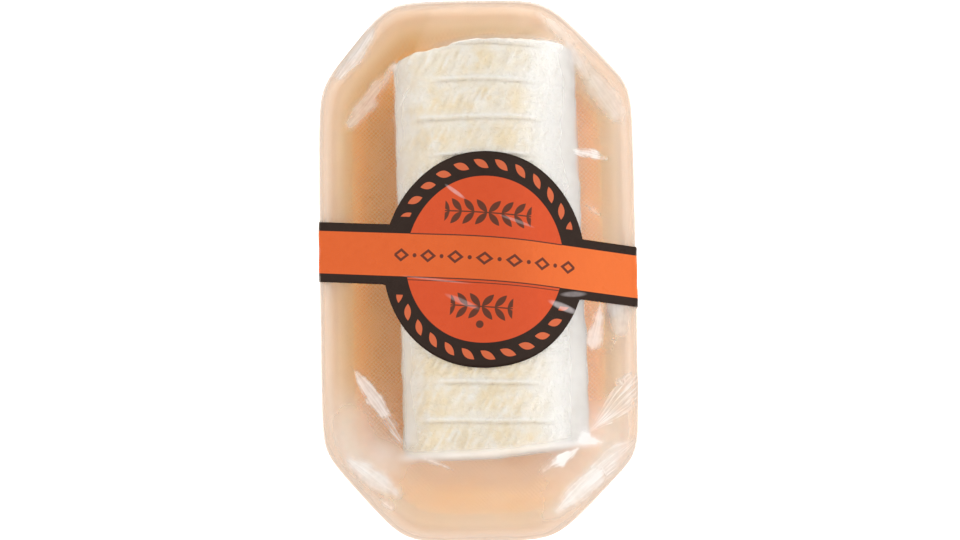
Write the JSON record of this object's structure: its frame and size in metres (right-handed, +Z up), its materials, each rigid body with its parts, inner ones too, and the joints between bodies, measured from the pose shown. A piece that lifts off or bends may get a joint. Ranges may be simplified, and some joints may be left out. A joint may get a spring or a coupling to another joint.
{
  "type": "packed cheese log",
  "caption": "Soft white-rinded cheese log lying in a peach plastic tray, wrapped in clear film with a paper band label that has a round middle.",
  "frame": {"origin": "on the table under the middle of the pack", "axes": "+Z up out of the tray, +Y along the log towards the end it lies closer to, +X across the pack"},
  "size_m": [0.0776, 0.1308, 0.0447],
  "materials": {
    "tray_plastic": "peach plastic, finely embossed inside, satin",
    "cheese_rind": null,
    "clear_film": "clear stretch film, glossy, creased at the corners",
    "label_paper": "coated paper printed orange and black, slightly glossy"
  },
  "bodies": {
    "root": {"tray": "tray_plastic", "cheese_log": "cheese_rind", "film": "clear_film", "label": "label_paper"}
  },
  "joints": []
}
